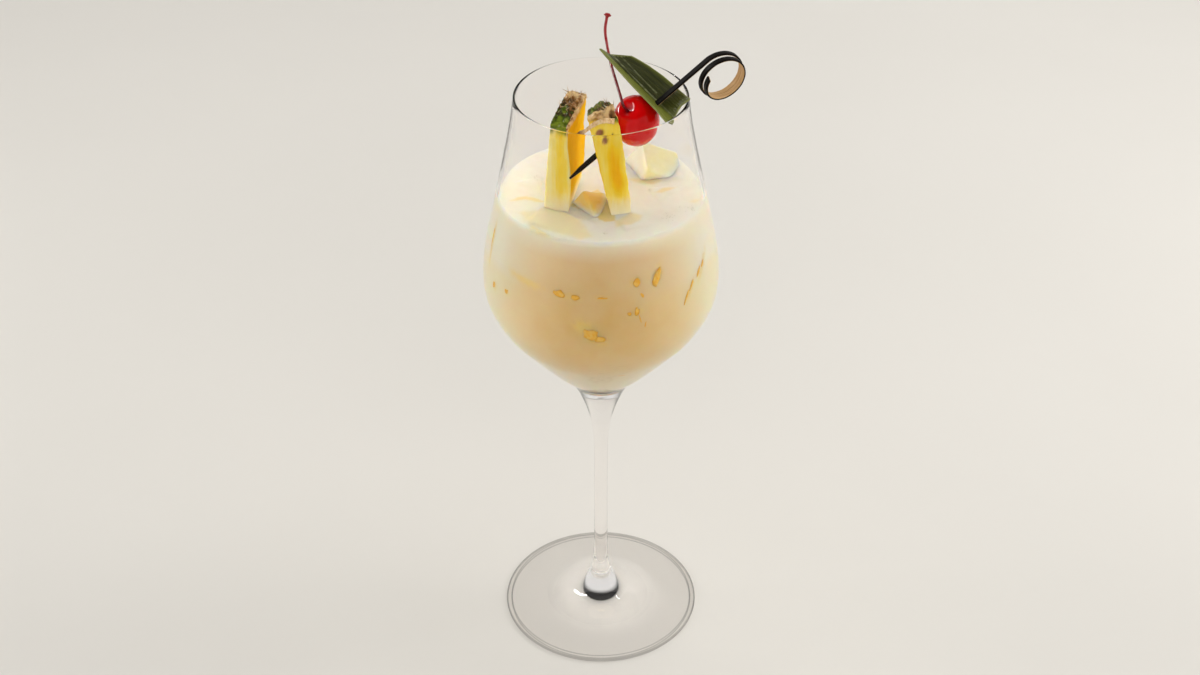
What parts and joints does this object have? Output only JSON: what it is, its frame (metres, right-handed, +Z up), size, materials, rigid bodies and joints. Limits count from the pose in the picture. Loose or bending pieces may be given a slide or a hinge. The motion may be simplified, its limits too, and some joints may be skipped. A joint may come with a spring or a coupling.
{
  "type": "virgin pina colada in a stemmed glass",
  "caption": "Creamy pina colada mocktail in a tulip-shaped stemmed wine glass, with ice, pineapple wedges, a red cherry and a piece of pineapple leaf on a looped bamboo pick.",
  "frame": {"origin": "centre of the foot's underside, on the glass's axis", "axes": "+Z up along the stem towards the rim; -Y is the front, where the pineapple wedges' cut ends look, and +X is the side over which the pick's loop hangs"},
  "size_m": [0.0972, 0.0904, 0.2664],
  "materials": {
    "glass": "clear blown glass, polished",
    "drink": "opaque cream liquid with a foamy top",
    "ice": "wet, half clear, tinted by the drink",
    "pineapple": "moist fibrous fruit with a rough green and brown rind",
    "cherry": "glossy wet skin",
    "leaf": "waxy leaf with long ribs",
    "bamboo": "black skin outside, pale wood inside"
  },
  "bodies": {
    "root": {"glass": "glass", "drink": "drink", "pineapple_left": "pineapple", "pineapple_right": "pineapple", "ice_front_left": "ice", "ice_middle": "ice", "ice_back_left": "ice", "ice_back_right": "ice", "ice_right": "ice", "ice_front_right": "ice", "cherry": "cherry", "leaf": "leaf", "pick": "bamboo"}
  },
  "joints": []
}
